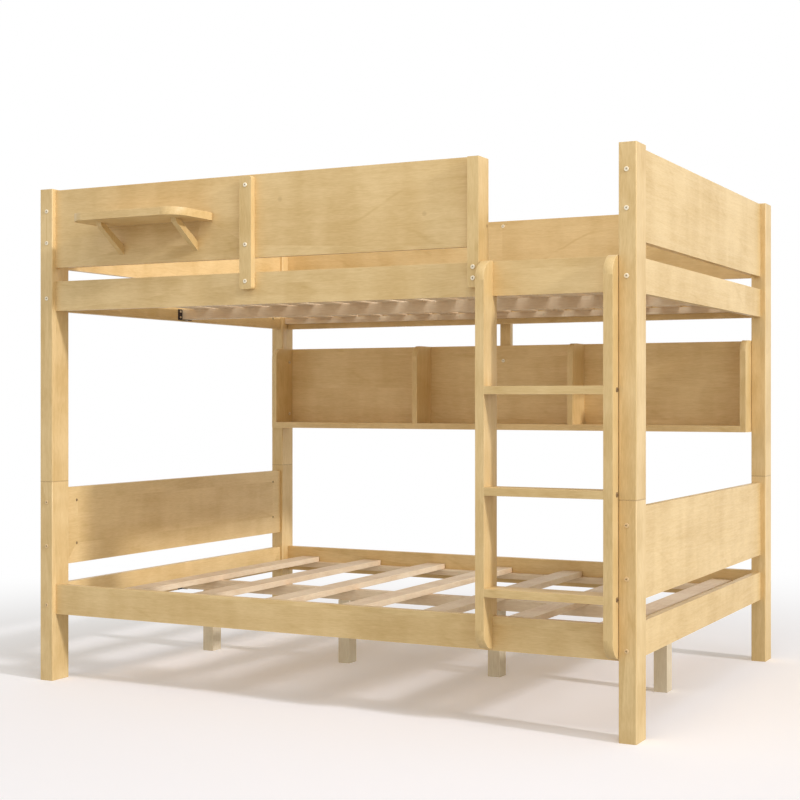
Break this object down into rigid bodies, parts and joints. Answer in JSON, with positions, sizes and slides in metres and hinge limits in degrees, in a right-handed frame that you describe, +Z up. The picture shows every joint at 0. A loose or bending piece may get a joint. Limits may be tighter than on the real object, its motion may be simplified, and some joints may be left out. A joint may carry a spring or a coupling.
{
  "type": "bunk bed",
  "caption": "Pine bunk bed with slatted lower and upper beds, guard boards, a front ladder, a long rear bookshelf and a small outer shelf.",
  "frame": {"origin": "middle of the bounding box in plan, on the floor", "axes": "+X along the bed's length, to the ladder end; +Y from the ladder side to the bookshelf side; +Z up"},
  "size_m": [2.026, 1.682, 1.6],
  "materials": {
    "post_pine": "clear lacquer",
    "board_pine": "clear lacquer",
    "trim_pine": "clear lacquer",
    "slat_pine": "planed",
    "dowel_wood": "raw",
    "bright_steel": "zinc plated",
    "plate_steel": "zinc plated",
    "black_metal": "satin"
  },
  "bodies": {
    "root": {"front_left_post_lower": "post_pine", "front_right_post_lower": "post_pine", "rear_left_post_lower": "post_pine", "rear_right_post_lower": "post_pine", "front_left_post_upper": "post_pine", "front_right_post_upper": "post_pine", "rear_left_post_upper": "post_pine", "rear_right_post_upper": "post_pine", "left_end_lower_rail": "board_pine", "right_end_lower_rail": "board_pine", "left_end_upper_rail": "board_pine", "right_end_upper_rail": "board_pine", "left_end_lower_panel": "board_pine", "right_end_lower_panel": "board_pine", "left_end_upper_panel": "board_pine", "right_end_upper_panel": "board_pine", "front_lower_rail": "board_pine", "rear_lower_rail": "board_pine", "front_upper_rail": "board_pine", "rear_upper_rail": "board_pine", "front_guard_board": "board_pine", "rear_guard_board": "board_pine", "small_shelf_board": "board_pine", "bookshelf_back": "board_pine", "bookshelf_bottom": "board_pine", "bookshelf_left_end": "board_pine", "bookshelf_right_end": "board_pine", "bookshelf_left_divider": "board_pine", "bookshelf_right_divider": "board_pine", "front_guard_strip": "trim_pine", "rear_centre_strip": "trim_pine", "guard_end_upright": "trim_pine", "small_shelf_left_brace": "trim_pine", "small_shelf_right_brace": "trim_pine", "ladder_left_stile": "trim_pine", "ladder_right_stile": "trim_pine", "ladder_bottom_rung": "trim_pine", "ladder_middle_rung": "trim_pine", "ladder_top_rung": "trim_pine", "lower_slats": "slat_pine", "upper_slats": "slat_pine", "front_lower_ledger": "slat_pine", "rear_lower_ledger": "slat_pine", "front_upper_ledger": "slat_pine", "rear_upper_ledger": "slat_pine", "lower_centre_beam": "slat_pine", "upper_centre_beam": "slat_pine", "centre_legs": "slat_pine", "wood_dowels": "dowel_wood", "post_bolts": "bright_steel", "cross_nuts": "bright_steel", "connector_bolts": "bright_steel", "sleeve_nuts": "bright_steel", "rung_bolts": "bright_steel", "ladder_bolts": "bright_steel", "bookshelf_bolts": "bright_steel", "wood_screws": "bright_steel", "rail_hook_plates": "plate_steel", "post_slot_plates": "plate_steel", "beam_hangers": "black_metal"}
  },
  "joints": []
}
